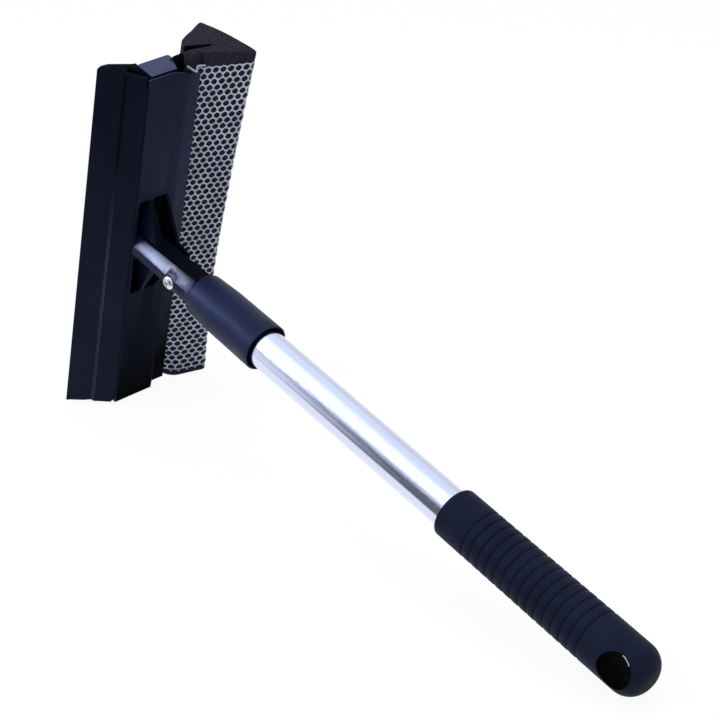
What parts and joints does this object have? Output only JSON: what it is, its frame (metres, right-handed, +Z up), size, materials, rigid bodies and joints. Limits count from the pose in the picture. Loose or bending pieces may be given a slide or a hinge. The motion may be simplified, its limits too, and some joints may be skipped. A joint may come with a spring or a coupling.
{
  "type": "window squeegee",
  "caption": "Telescopic window squeegee with a wedge rubber blade on one side of its head, a netted sponge on the other, a twist-lock collar and a grip with a hanging hole.",
  "frame": {"origin": "middle of the outline on the floor that the tool stands on", "axes": "+Z up, the handle runs down along -Y from the head, the rubber is on -X and the sponge on +X"},
  "size_m": [0.0776, 0.3946, 0.2052],
  "materials": {
    "head_plastic": "moulded black, semi-gloss",
    "frame_plastic": "moulded black, satin",
    "blade_rubber": "black, smooth matte",
    "sponge_foam": "open black foam",
    "net_thread": "pale knitted net",
    "screw_steel": "bright plated",
    "tube_metal": "bright drawn tube",
    "inner_plastic": "moulded black, plain",
    "collar_plastic": "moulded black, satin",
    "grip_plastic": "soft black vinyl, satin"
  },
  "bodies": {
    "handle": {"outer_tube": "tube_metal", "collet_bush": "inner_plastic", "bush_pins": "screw_steel", "collet_ring": "inner_plastic", "grip": "grip_plastic", "tube_end_plug": "inner_plastic"},
    "collar": {"twist_collar": "collar_plastic"},
    "glide": {"glide_ring": "inner_plastic"},
    "head": {"front_plate": "head_plastic", "back_frame": "frame_plastic", "head_screws": "screw_steel", "blade_rubber": "blade_rubber", "sponge": "sponge_foam", "sponge_net": "net_thread", "neck_screw": "screw_steel", "neck_nut": "screw_steel", "inner_tube": "tube_metal", "tube_core": "inner_plastic", "inner_stop_plug": "inner_plastic", "stop_plug_pin": "screw_steel"}
  },
  "joints": [
    {"name": "collar_twist", "type": "hinge", "parent": "handle", "child": "collar", "pos_m": [-0.01123, 0.10236, 0.0872], "axis": [0, 0.9684, 0.2493], "range_deg": [0, 180]},
    {"name": "extension", "type": "slide", "parent": "handle", "child": "glide", "axis": [0, 0.9684, 0.2493], "range_m": [0, 0.19]},
    {"name": "head_swivel", "type": "hinge", "parent": "glide", "child": "head", "pos_m": [-0.01123, -0.12957, 0.02749], "axis": [0, 0.9684, 0.2493], "continuous": true}
  ]
}
